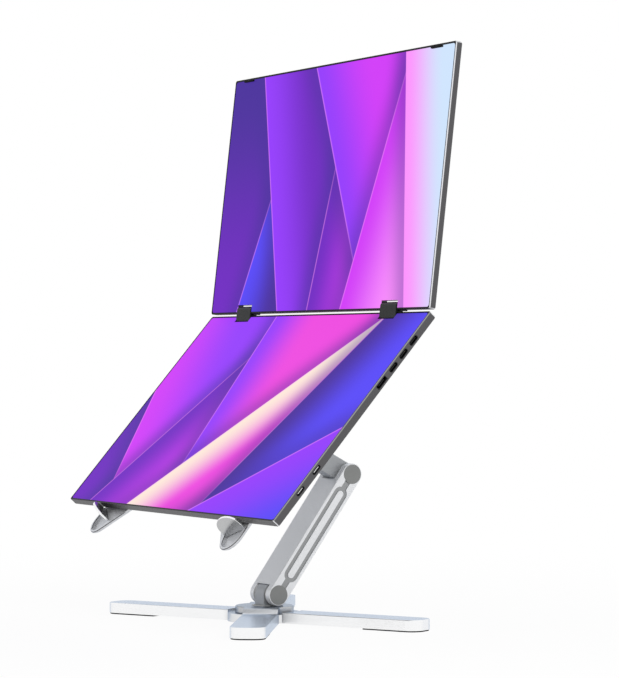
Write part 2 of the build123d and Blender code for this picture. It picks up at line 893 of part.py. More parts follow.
def tongue_plan(gap, back):
    """Outline of a hook that is folded flat, with a gap round it."""
    radius = hook_width / 2 + gap
    straight = hook_straight()
    length = straight + radius + back
    form = (Pos(0, (back - straight) / 2) * Rectangle(2 * radius, straight + back)
            + Pos(0, -straight) * Circle(radius))
    return form & Pos(0, back - length / 2) * Rectangle(2 * radius, length)


def tray_plan():
    """Outline of the tray: two splayed legs under a wide plate."""
    tip = hook_width / 2 + slide_gap + tip_rim
    corner = tray_top_width / 2 - tray_corner
    legs = []
    for side in (-1, 1):
        place = hook_frame(side) * Pos(0, -hook_straight())
        rounds = [Pos(place.position.X, place.position.Y) * Circle(tip),
                  Pos(side * corner, tray_top - tray_corner) * Circle(tray_corner),
                  Pos(0, tray_top - tray_corner) * Circle(tray_corner),
                  Pos(0, -tray_apex_drop) * Circle(tray_corner)]
        legs.append(make_hull([edge for form in rounds for edge in form.edges()]))
    plan = legs[0] + legs[1]
    middle = [v for v in plan.vertices() if abs(v.X) < drop_gap and v.Y < 0]
    return fillet(middle, tray_apex_round)


def hook_room():
    """Pocket for a folded hook, with a notch for the thumb."""
    depth = hook_thickness + slide_gap
    pocket = slab(tongue_plan(slide_gap, hook_thickness / 2 + slide_gap), -depth, cut_over)
    reach = hook_straight() + hook_width / 2 + slide_gap + thumb_share * tip_rim
    thumb = Pos(0, thumb_radius - reach) * slab(Circle(thumb_radius), -depth, cut_over)
    return Pos(0, 0, hook_thickness / 2) * (pocket + thumb)


def tray():
    """Plate that carries the monitor, with a pocket in each leg for its folded hook."""
    plate = slab(tray_plan(), -tray_thickness, 0)
    plate = fillet(plate.faces().sort_by(Axis.Z)[-1].edges(), tray_round)
    plate = chamfer(plate.faces().sort_by(Axis.Z)[0].edges(), tray_chamfer)
    for side in (-1, 1):
        plate -= hook_frame(side) * hook_room()
        plate -= hook_frame(side) * rod(hook_pin_radius + seat_fit, -pin_half(), pin_half())
    return tray_frame * (plate - [screw_shank(place, seat_fit) for place in bracket_screw_places()])


def pin_half():
    """Half the length of a hook's pin."""
    return hook_width / 2 + slide_gap + tip_rim - hook_pin_inset


def tray_pads():
    """Rubber strips on the tray, under the rear housing of the monitor."""
    strip = SlotOverall(pad_length, pad_width)
    forms = []
    for side in (-1, 1):
        forms.append(Pos(side * pad_spread, tray_top - pad_top_inset) * strip)
        forms.append(Pos(side * pad_low_spread, -pad_low_drop) * Rot(0, 0, -side * pad_low_turn) * strip)
    return group(*[tray_frame * slab(form, 0, pad_height) for form in forms])


def hook(side):
    """Round-ended tongue that holds the bottom edge of the lower screen."""
    plan = tongue_plan(0, 0)
    tongue = slab(plan, -hook_thickness / 2, hook_thickness / 2)
    tongue = fillet(tongue.faces().filter_by(Axis.Z).edges().filter_by(GeomType.CIRCLE), hook_round)
    upright = Rot(-90, 0, 0) * tongue
    root = rod(hook_thickness / 2, -hook_width / 2, hook_width / 2)
    bore = rod(hook_pin_radius + turn_fit, -hook_width, hook_width)
    return tray_frame * hook_frame(side) * (upright + root - bore)


def hook_pins():
    """Pins of both hooks."""
    return group(*[tray_frame * hook_frame(side) * rod(hook_pin_radius, -pin_half(), pin_half())
                   for side in (-1, 1)])


BASE = (Align.CENTER, Align.CENTER, Align.MIN)
lower_arm_frame = side_frame(base_axis, lean(lower_arm_angle))
tray_frame = face_frame(tray_front, lower_tilt)
block_frame = side_frame(lower_pivot, lean(upper_tilt))

nodes = {
    "base_beam": base_beam(),
    "base_feet": foot_pads(base_turn),
    "cross_beam": cross_beam(),
    "cross_feet": foot_pads(cross_turn),
    "centre_foot": centre_foot(),
    "pivot_washer": pivot_washer(),
    "pivot_bolt": pivot_bolt(),
    "swivel_washer": swivel_washer(),
    "swivel_knuckle": swivel_knuckle(),
    "lower_arm": lower_arm(),
    "base_hinge_shaft": arm_shaft(0),
    "base_hinge_washers": arm_washers(base_axis, knuckle_width),
    "elbow_shaft": arm_shaft(lower_arm_length),
    "elbow_washers": arm_washers(elbow_axis, upper_arm_width),
    "arm_caps": arm_caps(),
    "upper_arm": upper_arm(),
    "tray_shaft": tray_shaft(),
    "tray_washers": tray_washers(),
    "tray_caps": tray_caps(),
    "tray_bracket": tray_bracket(),
    "bracket_screws": bracket_screws(),
    "tray": tray(),
    "tray_pads": tray_pads(),
    "left_hook": hook(-1),
    "right_hook": hook(1),
    "hook_pins": hook_pins(),
    "lower_rear_cover": lower.frame * (lower_rear_cover() - rivet_holes(lower)),
    "lower_bezel": lower.frame * bezel(lower),
    "lower_lcd_panel": lower.frame * lcd_panel(lower),
    "lower_backlight": lower.frame * backlight(lower),
    "main_board": lower.frame * main_board(),
    "port_board": lower.frame * port_board(),
    "usb_c_ports": lower.frame * usb_c_ports(),
    "hdmi_port": lower.frame * hdmi_port(),
    "button_board": lower.frame * button_board(),
    "button_switches": lower.frame * button_switches(),
    "power_button": lower.frame * button(button_rises[0]),
    "menu_button": lower.frame * button(button_rises[1]),
    "lower_hinge_leaves": lower.frame * hinge_leaves(lower),
    "lower_hinge_pins": lower.frame * hinge_pins(lower),
    "lower_hinge_rivets": lower.frame * hinge_rivets(lower),
    "left_hinge_block": block_frame * hinge_block(-hinge_offset),
    "right_hinge_block": block_frame * hinge_block(hinge_offset),
    "upper_rear_cover": upper.frame * (case(upper) - rivet_holes(upper)),
    "upper_bezel": upper.frame * bezel(upper),
    "upper_lcd_panel": upper.frame * lcd_panel(upper),
    "upper_backlight": upper.frame * backlight(upper),
    "driver_board": upper.frame * driver_board(),
    "upper_hinge_leaves": upper.frame * hinge_leaves(upper),
    "upper_hinge_pins": upper.frame * hinge_pins(upper),
    "upper_hinge_rivets": upper.frame * hinge_rivets(upper),
    "upper_bumpers": upper.frame * upper_bumpers(),
}

os.makedirs("parts", exist_ok=True)
for name, solid in nodes.items():
    export_step(solid, f"parts/{name}.step")
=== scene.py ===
import json
from math import cos, radians, sin

import bpy
from bpy.props import FloatProperty, FloatVectorProperty, IntProperty, PointerProperty
from mathutils import Matrix, Vector


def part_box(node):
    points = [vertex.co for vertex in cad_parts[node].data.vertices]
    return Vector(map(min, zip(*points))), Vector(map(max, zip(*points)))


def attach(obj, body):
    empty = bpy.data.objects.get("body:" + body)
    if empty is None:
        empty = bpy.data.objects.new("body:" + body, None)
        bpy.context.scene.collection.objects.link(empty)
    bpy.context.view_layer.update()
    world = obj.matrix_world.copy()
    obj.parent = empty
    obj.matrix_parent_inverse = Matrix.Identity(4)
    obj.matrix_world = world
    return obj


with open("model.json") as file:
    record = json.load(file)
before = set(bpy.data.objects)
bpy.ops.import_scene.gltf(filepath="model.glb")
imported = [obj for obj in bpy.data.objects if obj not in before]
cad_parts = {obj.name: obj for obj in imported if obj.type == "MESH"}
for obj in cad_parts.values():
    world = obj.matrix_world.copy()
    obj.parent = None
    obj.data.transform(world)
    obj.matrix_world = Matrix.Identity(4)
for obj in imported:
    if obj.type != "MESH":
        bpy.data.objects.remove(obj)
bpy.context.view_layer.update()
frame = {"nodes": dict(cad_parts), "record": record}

bl_info = {
    "name": "Folding two-screen monitor",
    "version": (1, 0, 0),
    "blender": (4, 5, 0),
    "location": "3D View > Sidebar > Monitor",
    "description": "Finishes and small fittings of a two-screen portable monitor on its folding stand",
    "category": "Object",
}

MM = 0.001

# Places and sizes that the solids give; turns are in degrees
LOWER_TILT = 41.0               # how far the lower screen leans back
UPPER_TILT = 6.75
ARM_LEAN = 35.4
ARM_GROOVE = 15.5 * MM          # floor of the grooves from the middle of the arm
GROOVE_HALF = 6.2 * MM          # half of a groove's width
HOOK_SPLAY = 28.0
PANEL_THICKNESS = 0.7 * MM
PANEL_RECESS = 0.25 * MM        # front of the display below the front of the rim
LOWER_DEPTH = 6.7 * MM
UPPER_DEPTH = 5.7 * MM
HOUSING_DEPTH = 1.2 * MM
HOUSING_MIDDLE = 85.3 * MM      # middle of the rear housing above the screen's bottom edge
HOUSING_BACK = LOWER_DEPTH + HOUSING_DEPTH - PANEL_RECESS
DISPLAY_INSET = 1.5 * MM        # edge of the display from the edge of the screen
SCREEN_WIDTH = 358.5 * MM
SCREEN_HEIGHT = 200.6 * MM
SOCKET_DROPS = (26.0 * MM, 39.0 * MM, 52.0 * MM)    # round-ended sockets below the screen's top edge
TONGUE_THICKNESS = 0.7 * MM
BUTTON_RISES = (50.6 * MM, 30.6 * MM)               # keys above the screen's bottom edge
BUTTON_RECESS = 0.25 * MM
TRAY_FRONT = 21.5 * MM          # front of the tray in front of its hinge axis
BRACKET_HEADS = 13.7 * MM       # faces of the bracket's screws in front of that axis
BRACKET_MIDDLE = 9.0 * MM       # middle of the bracket's screws above that axis
BRACKET_SPANS = (34.0 * MM, 30.0 * MM)
BRACKET_HEAD_RADIUS = 3.4 * MM

# Places, counts and small sizes of the fittings; a grid is columns and rows
INLAY = 0.06 * MM               # how far an inlaid fitting stands proud
FOUR_CORNERS = (2, 2)
SINGLE = (1, 1)
CONTACT_GRID = (6, 2)           # on both faces of a socket's tongue
CONTACT_LENGTH = 3.0 * MM
CONTACT_INSET = 2.8 * MM        # middle of the contacts from the side of the screen
CONTACT_SPAN = 4.6 * MM
VENT_HEIGHT = 170.0 * MM        # middle of the vents above the screen's bottom edge
VENT_ROWS = 2
VENT_ROW_PITCH = 12.0 * MM
SCREW_SPANS = (226.0 * MM, 100.0 * MM)
SCREW_HEIGHT = 0.5 * MM
SCREW_SIDES = 28
HEX_SIDES = 6
HEX_SHARE = 0.5                 # of a screw head's radius, for the six-sided socket in it
FOOT_SPANS = (236.0 * MM, 158.0 * MM)
ROUND_STEPS = 6                 # of each corner of a round-ended pad
ROUND_SHARE = 0.49              # of a pad's lesser side, for the radius of its corners


class Panel:
    """A screen's display: the middle of its lower front edge, its directions and its size."""

    def __init__(self, node, tilt):
        low, high = (Vector(corner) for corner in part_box(node))
        self.right = Vector((1, 0, 0))
        self.up = Vector((0, sin(radians(tilt)), cos(radians(tilt))))
        self.out = Vector((0, -cos(radians(tilt)), sin(radians(tilt))))
        self.origin = Vector((0, low.y, low.z + self.out.z * PANEL_THICKNESS))
        self.width = high.x - low.x
        self.height = (high.z - self.origin.z) / self.up.z

    def place(self, across, up, out, facing=1):
        """Matrix from a drawing in the XY plane to a place on the panel; facing -1 looks out of its back."""
        return self.seat(self.origin + self.right * across + self.up * up + self.out * out, facing)

    def seat(self, at, facing=1):
        """The same for any point, with the panel's directions."""
        columns = (self.right * facing, self.up, self.out * facing)
        return Matrix.Translation(at) @ Matrix(columns).transposed().to_4x4()

    def side_seat(self, inset, up, out):
        """Matrix to a place on the right side: x up the screen, y out of its front, z out of the side."""
        across = SCREEN_WIDTH / 2 - inset
        at = self.origin + self.right * across + self.up * (up - DISPLAY_INSET) + self.out * out
        return Matrix.Translation(at) @ Matrix((self.up, self.out, self.right)).transposed().to_4x4()


def joint_place(name):
    """Where a joint of the frame is."""
    joints = frame["record"]["behaviour"]["joints"]
    return Vector(next(item["pos_m"] for item in joints if item["name"] == name))


LOWER = Panel("lower_lcd_panel", LOWER_TILT)
UPPER = Panel("upper_lcd_panel", UPPER_TILT)


# Looks that a user would change

def colour(name, words, default):
    """Colour property with its name and description."""
    return FloatVectorProperty(name=name, description=words, default=default, size=3, min=0, max=1,
                               subtype="COLOR")


def measure(name, words, default):
    """Length property in metres."""
    return FloatProperty(name=name, description=words, default=default, min=0, subtype="DISTANCE",
                         unit="LENGTH")


class DisplayLook(bpy.types.PropertyGroup):
    """Colours of the picture on the displays."""
    indigo: colour("Indigo", "Darkest colour of the picture", (0.068, 0.028, 0.330))
    purple: colour("Purple", "Dark warm colour of the picture", (0.165, 0.022, 0.540))
    violet: colour("Violet", "Middle colour of the picture", (0.300, 0.045, 0.960))
    magenta: colour("Magenta", "Strongest colour of the picture", (0.640, 0.045, 0.930))
    rose: colour("Rose", "Warm colour of the picture", (0.850, 0.065, 0.740))
    blush: colour("Blush", "Pale warm colour of the picture", (0.980, 0.290, 0.980))
    cream: colour("Cream", "Palest warm colour of the picture", (0.980, 0.820, 0.700))
    ice: colour("Ice", "Palest cool colour of the picture", (0.630, 0.780, 0.980))
    blue: colour("Blue", "Cool colour of the picture", (0.098, 0.066, 0.930))


class CaseLook(bpy.types.PropertyGroup):
    """Finish of the screens' cases."""
    body: colour("Case", "Satin metal of the cases", (0.118, 0.116, 0.121))
    # The rim and edge colours are painted highlights: a strip along the front of each case's sides, dim on
    # the lower case and bright on the upper, and glints at the corners of both
    rim_highlight: colour("Rim", "Cut edge at the sides of the lower screen", (0.300, 0.300, 0.310))
    edge: colour("Edge", "Cut edge at the sides of the upper screen, and the corners", (0.780, 0.785, 0.810))
    bezel: colour("Bezel", "Frame round the display", (0.006, 0.006, 0.007))
    hinge: colour("Hinge", "Hinge blocks", (0.016, 0.018, 0.018))
    key: colour("Keys", "Keys in the side of the lower screen", (0.005, 0.005, 0.006))
    # The socket shells are dark as painted shade inside their openings
    socket: colour("Socket", "Shells of the sockets", (0.030, 0.030, 0.032))
    contact: colour("Contact", "Gilt contacts in the sockets", (0.700, 0.480, 0.160))


class StandLook(bpy.types.PropertyGroup):
    """Finish of the folding stand."""
    metal: colour("Aluminium", "Blasted and anodised aluminium of the lower arm", (0.850, 0.859, 0.872))
    # Links: a darker copy of the arm's aluminium, painted shade on the upper arm and the knuckle
    link: colour("Links", "Duller aluminium of the upper arm and the knuckle", (0.400, 0.412, 0.424))
    beam: colour("Beams", "Bright aluminium of the base", (0.970, 0.973, 0.978))
    tray: colour("Tray", "Aluminium of the tray", (0.700, 0.705, 0.715))
    # Tray tips: a painted dark reflection round the tips of the tray
    tip_reflection: colour("Tray tips", "Cut edge round the tips of the tray", (0.120, 0.120, 0.125))
    groove: colour("Groove", "Floor of the grooves in the arm", (0.340, 0.345, 0.345))
    cap: colour("Caps", "Covers over the shafts", (0.250, 0.255, 0.250))
    hook: colour("Hooks", "Polished faces of the hooks", (0.520, 0.524, 0.528))
    # Hook rims: a painted highlight along the hooks' rims; the key strips take the same colour
    rim_highlight: colour("Hook rims", "Bright rims of the hooks", (0.930, 0.935, 0.940))
    # Hub and boss paint shade and a reflection of the arm onto the beams near the hub
    hub: colour("Hub", "Duller aluminium at the hub of the base", (0.470, 0.475, 0.485))
    boss: colour("Boss", "Duller aluminium at the boss under the hub", (0.620, 0.625, 0.635))
    rubber: colour("Rubber", "Feet, pads and bumpers", (0.006, 0.006, 0.007))
    nylon: colour("Nylon", "Friction washers", (0.620, 0.620, 0.600))
    steel: colour("Steel", "Shafts, pins and screws", (0.480, 0.490, 0.500))


class FittingSizes(bpy.types.PropertyGroup):
    """Sizes of the small fittings."""
    vent_length: measure("Vent length", "Length of a slot in the rear housing", 9 * MM)
    vent_width: measure("Vent width", "Width of a slot in the rear housing", 1.8 * MM)
    vent_pitch: measure("Vent pitch", "Distance between neighbouring slots", 5 * MM)
    vents_across: IntProperty(name="Vents across", description="Slots in a row", default=25, min=1)
    screw_radius: measure("Screw radius", "Radius of a screw head on the rear housing", 2.3 * MM)
    contact_width: measure("Contact width", "Width of a contact in a socket", 0.3 * MM)
    # The ridge on a key is a thin bright strip, a painted highlight
    highlight_length: measure("Ridge length", "Length of the bright ridge on a key", 5.6 * MM)
    highlight_width: measure("Ridge width", "Width of the bright ridge on a key", 0.42 * MM)
    foot_length: measure("Foot length", "Length of a rubber foot on the upper cover", 46 * MM)
    foot_width: measure("Foot width", "Width of a rubber foot on the upper cover", 5 * MM)
    foot_height: measure("Foot height", "Height of a rubber foot on the upper cover", 0.7 * MM)


# Node trees

class Varying:
    """A value in a node tree; Python's operators on it add Math nodes."""

    def __init__(self, graph, socket):
        self.graph = graph
        self.socket = socket

    def math(self, operation, *terms):
        """Math node on values and numbers."""
        return self.graph.node("ShaderNodeMath", {"operation": operation}, dict(enumerate(terms)))

    def __add__(self, other):
        return self.math("ADD", self, other)

    def __radd__(self, other):
        return self.math("ADD", other, self)

    def __sub__(self, other):
        return self.math("SUBTRACT", self, other)

    def __rsub__(self, other):
        return self.math("SUBTRACT", other, self)

    def __mul__(self, other):
        return self.math("MULTIPLY", self, other)

    def __rmul__(self, other):
        return self.math("MULTIPLY", other, self)

    def __truediv__(self, other):
        return self.math("DIVIDE", self, other)

    def __pow__(self, other):
        return self.math("POWER", self, other)

    def __abs__(self):
        return self.math("ABSOLUTE", self)

    def fraction(self):
        return self.math("FRACT", self)

    def least(self, other):
        return self.math("MINIMUM", self, other)

    def most(self, other):
        return self.math("MAXIMUM", self, other)

    def swing(self, size):
        """Swing about 0, of the given size, of a value that runs from 0 to 1."""
        return size * (self - 0.5)

    def ramp(self, low, high):
        """Smooth step from 0 at low to 1 at high."""
        settings = {"interpolation_type": "SMOOTHSTEP"}
        return self.graph.node("ShaderNodeMapRange", settings, {0: self, 1: low, 2: high, 3: 0.0, 4: 1.0})


class Nodes:
    """A node tree, emptied, and the way that nodes are added to it."""

    def __init__(self, tree):
        self.tree = tree
        tree.nodes.clear()

    def node(self, kind, settings=None, sockets=None, out=0):
        """Adds a node, with its settings and its sockets' values or links; gives an output, if it has one."""
        added = self.tree.nodes.new(kind)
        for key, value in (settings or {}).items():
            setattr(added, key, value)
        for key, value in (sockets or {}).items():
            if isinstance(value, Varying):
                self.tree.links.new(value.socket, added.inputs[key])
            else:
                added.inputs[key].default_value = value
        return Varying(self, added.outputs[out]) if added.outputs else None


class Graph(Nodes):
    """A material's shader nodes."""

    def __init__(self, name):
        self.material = bpy.data.materials.new(name)
        self.material.use_nodes = True
        super().__init__(self.material.node_tree)

    def mix(self, share, first, second):
        """Colour between two colours."""
        sockets = {0: share, 6: solid(first), 7: solid(second)}
        return self.node("ShaderNodeMix", {"data_type": "RGBA"}, sockets, out=2)

    def place(self):
        """Where a point of the surface is, in metres."""
        return self.node("ShaderNodeTexCoord", out="Object")

    def vector(self, operation, *terms, out=0):
        """Vector Math on places and directions."""
        return self.node("ShaderNodeVectorMath", {"operation": operation}, dict(enumerate(terms)), out)

    def along(self, direction, start=Vector()):
        """Distance of the surface along a direction, from a starting point."""
        moved = self.vector("SUBTRACT", self.place(), start)
        return self.vector("DOT_PRODUCT", moved, direction, out="Value")

    def noise(self, scale, detail=2.0, rough=0.5, stretch=(1, 1, 1)):
        """Noise from 0 to 1; the scale is in cycles a metre."""
        spread = self.vector("MULTIPLY", self.place(), stretch)
        sockets = {"Vector": spread, "Scale": scale, "Detail": detail, "Roughness": rough}
        return self.node("ShaderNodeTexNoise", None, sockets)

    def bump(self, height, distance, strength):
        """Normal that follows a height."""
        sockets = {"Height": height, "Distance": distance, "Strength": strength}
        return self.node("ShaderNodeBump", None, sockets)

    def surface(self, **sockets):
        """Ends the graph in a Principled shader, and gives the material."""
        named = {}
        for key, value in sockets.items():
            title = key.replace("_", " ").title().replace("Ior", "IOR")
            named[title] = solid(value) if title.endswith(("Color", "Tint")) else value
        return self.end(self.node("ShaderNodeBsdfPrincipled", None, named))

    def end(self, shader):
        """Ends the graph in any shader, and gives the material."""
        self.node("ShaderNodeOutputMaterial", None, {"Surface": shader})
        return self.material


class Tree(Nodes):
    """A Geometry Nodes tree whose sizes are named inputs."""

    def __init__(self, name):
        super().__init__(bpy.data.node_groups.new(name, "GeometryNodeTree"))
        self.tree.interface.new_socket("Geometry", in_out="OUTPUT", socket_type="NodeSocketGeometry")
        self.entry = self.tree.nodes.new("NodeGroupInput")
        self.values = {}

    def size(self, name, value, kind="NodeSocketFloat"):
        """Named input with its value."""
        item = self.tree.interface.new_socket(name, in_out="INPUT", socket_type=kind)
        self.values[item.identifier] = value
        return Varying(self, self.entry.outputs[name])

    def joined(self, *shapes):
        """Several shapes as one."""
        join = self.node("GeometryNodeJoinGeometry")
        for shape in reversed(shapes):
            self.tree.links.new(shape.socket, join.socket.node.inputs[0])
        return join

    def mesh(self, name, shape, material, place):
        """Plain mesh object of the finished tree, put in its place."""
        real = self.node("GeometryNodeRealizeInstances", None, {"Geometry": shape})
        painted = self.node("GeometryNodeSetMaterial", None, {"Geometry": real, "Material": material})
        self.node("NodeGroupOutput", None, {0: painted})
        maker = bpy.data.objects.new(name + "_maker", bpy.data.meshes.new(name + "_maker"))
        bpy.context.scene.collection.objects.link(maker)
        modifier = maker.modifiers.new("tree", "NODES")
        modifier.node_group = self.tree
        for identifier, value in self.values.items():
            modifier[identifier] = value
        ready = maker.evaluated_get(bpy.context.evaluated_depsgraph_get())
        mesh = bpy.data.meshes.new_from_object(ready)
        bpy.data.objects.remove(maker)
        mesh.name = name
        mesh.transform(place)
        piece = bpy.data.objects.new(name, mesh)
        bpy.context.scene.collection.objects.link(piece)
        return piece


# Finishes

COOL_SLANT = (0.72, 0.80, 0.97)         # tint of metal that is seen at a slant
BEAM_SLANT = (0.54, 0.62, 0.74)
GUIDE_WHITE = (0.80, 0.81, 0.83)
BOARD_GREEN = (0.015, 0.10, 0.05)
TRACK_GREEN = (0.03, 0.22, 0.10)
DUST_GREY = (0.03, 0.03, 0.03)
WEAR = {"scale": 240.0, "detail": 4.0, "rough": 0.6}
# Strength of the painted shade and reflection near the hub
HUB_SHADE_STRENGTH = 0.9
GLINT_STRENGTH = 0.9
SEAM_DARKNESS = 0.8
SEAM_CUT = 8.0                          # depth of the seam, in heights of the grain
SEAM_INSET = 5.0 * MM                   # seam of a rear cover from its edge
# Less roughness on the painted highlight along a case's sides
HIGHLIGHT_POLISH = 0.20
LANES = 600.0                           # tracks of a board, a metre
TRACK_STRENGTH = 0.6

# Where one finish gives way to the next: start and end of the change
GROOVE_SIDE = (GROOVE_HALF, GROOVE_HALF + 0.2 * MM)
GROOVE_FLOOR = (0.10 * MM, 0.16 * MM)   # from the floor, to either side
# Spans of the painted dark reflection round the tips of the tray
TIP_TOP = (-3.0 * MM, -1.0 * MM)        # up from the bottom edge of the display
TIP_BACK = (-0.8 * MM, -0.7 * MM)       # out from the front of the tray
TIP_FRONT = (-0.10 * MM, -0.04 * MM)
# Spans of the painted shade and reflection near the hub, on each beam
HUB_SHADE_BRIDGE = (24.0 * MM, 48.0 * MM)    # out from the pivot, on the upper beam
HUB_SHADE_BOSS = (24.0 * MM, 34.0 * MM)      # the same on the lower beam
# Span of the painted highlight on a hook's rim
HOOK_RIM_HIGHLIGHT = (0.84 * MM, 0.92 * MM)       # from the middle of a hook's thickness
CASE_FRONT = (-0.42 * MM, -0.34 * MM)   # out from the front of the case
# Span of the painted shade on the bottom edge of a case, which faces down
UNDERSIDE_SHADE_RISE = (0.20 * MM, 0.30 * MM)    # up from the bottom edge of the case
# The next two spans bound the painted highlight along the front of a case's sides, and the third the painted
# glints at its corners
HIGHLIGHT_SIDE = (0.30 * MM, 0.36 * MM)       # in from the side of the case
HIGHLIGHT_BACK = (-0.95 * MM, -0.85 * MM)     # out from the front of the case
CASE_CORNER = (0.85 * MM, 1.05 * MM)    # in from two edges of the case
SEAM_SIDE = (0.10 * MM, 0.25 * MM)      # from the middle of the seam
SEAM_BACK = (3.0 * MM, 4.0 * MM)        # behind the front of the case
DUST = (0.52, 0.80)                     # of a noise
TRACK_SIDE = (0.20, 0.26)               # of a lane, from its middle
TRACK_BREAK = (0.45, 0.55)              # of a noise


def solid(value):
    """Colour with its alpha, or a varying colour as it is."""
    return value if isinstance(value, Varying) else (*value, 1.0)


def shade(tint, share):
    """Darker kind of a colour."""
    return [share * part for part in tint]


def dress(material, *nodes):
    """Gives solids of the frame their finish."""
    for name in nodes:
        slots = frame["nodes"][name].data.materials
        slots.clear()
        slots.append(material)


def blasted_aluminium(name, tint, rough, shine, mask=None, second=None, slant=COOL_SLANT):
    """Anodised aluminium with the fine grain of blasting and faint handling marks, cooler at a slant."""
    g = Graph(name)
    grain = g.noise(scale=5200.0, detail=1.0)
    cloud = g.noise(scale=28.0, detail=3.0)
    wipe = g.noise(scale=160.0, detail=4.0, rough=0.6, stretch=(1, 0.25, 0.25))
    base = g.mix(0.25 * cloud + 0.10 * grain, tint, shade(tint, 0.86))
    if mask is not None:
        base = g.mix(mask(g), base, second)
    return g.surface(base_color=base, metallic=shine, specular_tint=slant,
                     roughness=rough + wipe.swing(0.10) + grain.swing(0.06),
                     normal=g.bump(grain, distance=0.02 * MM, strength=0.25))


def groove_floor(g):
    """1 on the floors of the long grooves in the cheeks of the lower arm, else 0."""
    front = Vector((0, -cos(radians(ARM_LEAN)), sin(radians(ARM_LEAN))))
    near = abs(g.along(front, joint_place("lower_arm_tilt"))).ramp(*GROOVE_SIDE)
    off = abs(abs(g.along(Vector((1, 0, 0)))) - ARM_GROOVE).ramp(*GROOVE_FLOOR)
    return (1 - near) * (1 - off)


def tip_reflection_mask(g):
    """1 on the painted dark reflection round the tips of the tray, else 0."""
    depth = g.along(LOWER.out, joint_place("tray_tilt") + LOWER.out * TRAY_FRONT)
    below = 1 - g.along(LOWER.up, LOWER.origin).ramp(*TIP_TOP)
    return below * depth.ramp(*TIP_BACK) * (1 - depth.ramp(*TIP_FRONT))


def hub_shade_mask(change):
    """Maker of a mask of painted shade and reflection, highest at the hub of the base and falling to 0 out on
    its beams.
    """
    def mask(g):
        moved = g.vector("SUBTRACT", g.place(), joint_place("base_swivel"))
        away = g.vector("LENGTH", g.vector("MULTIPLY", moved, (1, 1, 0)), out="Value")
        return HUB_SHADE_STRENGTH * (1 - away.ramp(*change))
    return mask


def polished_hook(name, side, look):
    """Polished hook with a painted highlight along its rim."""
    g = Graph(name)
    turn = radians(HOOK_SPLAY)
    through = LOWER.up * cos(turn) - LOWER.right * side * sin(turn)
    off = abs(g.along(through, joint_place(name + "_fold")))
    wear = g.noise(**WEAR)
    base = g.mix(0.15 * wear, look.hook, shade(look.hook, 0.8))
    # Painted highlight along the rim
    base = g.mix(1 - off.ramp(*HOOK_RIM_HIGHLIGHT), base, look.rim_highlight)
    return g.surface(base_color=base, metallic=0.9, roughness=0.22 + wear.swing(0.10))


def plain_metal(name, tint, rough, shine=1.0):
    """Machined or stamped metal with faint wear."""
    g = Graph(name)
    wear = g.noise(**WEAR)
    base = g.mix(0.2 * wear, tint, shade(tint, 0.7))
    return g.surface(base_color=base, metallic=shine, roughness=rough + wear.swing(0.12))


def turned_cap(name, tint):
    """Painted cover with a fine texture."""
    g = Graph(name)
    speck = g.noise(scale=3000.0)
    base = g.mix(0.3 * speck, tint, shade(tint, 0.8))
    return g.surface(base_color=base, metallic=0.55, roughness=0.46 + speck.swing(0.10),
                     normal=g.bump(speck, distance=0.015 * MM, strength=0.2))


def moulded_rubber(name, tint):
    """Matt rubber with a fine moulded grain and a little dust."""
    g = Graph(name)
    grain = g.noise(scale=2600.0)
    dust = g.noise(scale=70.0, detail=4.0, rough=0.65).ramp(*DUST)
    base = g.mix(0.35 * dust, tint, DUST_GREY)
    return g.surface(base_color=base, roughness=0.78 + grain.swing(0.12), specular_ior_level=0.1,
                     normal=g.bump(grain, distance=0.04 * MM, strength=0.4))


def moulded_plastic(name, tint, rough, shine=0.5):
    """Plain moulded plastic with a fine grain."""
    g = Graph(name)
    grain = g.noise(scale=3200.0)
    base = g.mix(0.25 * grain, tint, shade(tint, 0.75))
    return g.surface(base_color=base, roughness=rough + grain.swing(0.08), specular_ior_level=shine,
                     normal=g.bump(grain, distance=0.02 * MM, strength=0.3))


def case_metal(name, panel, look, edge, underside_shade):
    """Satin case with a dark front, painted highlights along its sides and at its corners, a painted shade in
    the underside colour on its bottom edge, and a seam in its back.
    """
    g = Graph(name)
    grain = g.noise(scale=4200.0)
    cloud = g.noise(scale=22.0, detail=3.0)
    depth = g.along(panel.out, panel.origin + panel.out * PANEL_RECESS)
    rise = g.along(panel.up, panel.origin) + DISPLAY_INSET
    aside = SCREEN_WIDTH / 2 - abs(g.along(panel.right))
    above = SCREEN_HEIGHT / 2 - abs(rise - SCREEN_HEIGHT / 2)
    # Painted highlight along the front of the sides, and painted glints at the corners
    side_highlight = (1 - aside.ramp(*HIGHLIGHT_SIDE)) * depth.ramp(*HIGHLIGHT_BACK)
    glint = (1 - aside.ramp(*CASE_CORNER)) * (1 - above.ramp(*CASE_CORNER))
    beside = abs(aside.least(above) - SEAM_INSET)
    seam = (1 - beside.ramp(*SEAM_SIDE)) * (0 - depth).ramp(*SEAM_BACK)
    base = g.mix(0.22 * cloud + 0.16 * grain, look.body, shade(look.body, 0.72))
    base = g.mix(depth.ramp(*CASE_FRONT), base, look.bezel)
    # Painted shade on the bottom edge, which faces down
    base = g.mix(1 - rise.ramp(*UNDERSIDE_SHADE_RISE), base, underside_shade)
    base = g.mix(side_highlight, base, edge)
    base = g.mix(GLINT_STRENGTH * glint, base, look.edge)
    base = g.mix(SEAM_DARKNESS * seam, base, shade(look.body, 0.2))
    return g.surface(base_color=base, metallic=0.75, specular_ior_level=0.15,
                     roughness=0.46 + grain.swing(0.10) - HIGHLIGHT_POLISH * side_highlight,
                     normal=g.bump(grain - SEAM_CUT * seam, distance=0.02 * MM, strength=0.25))


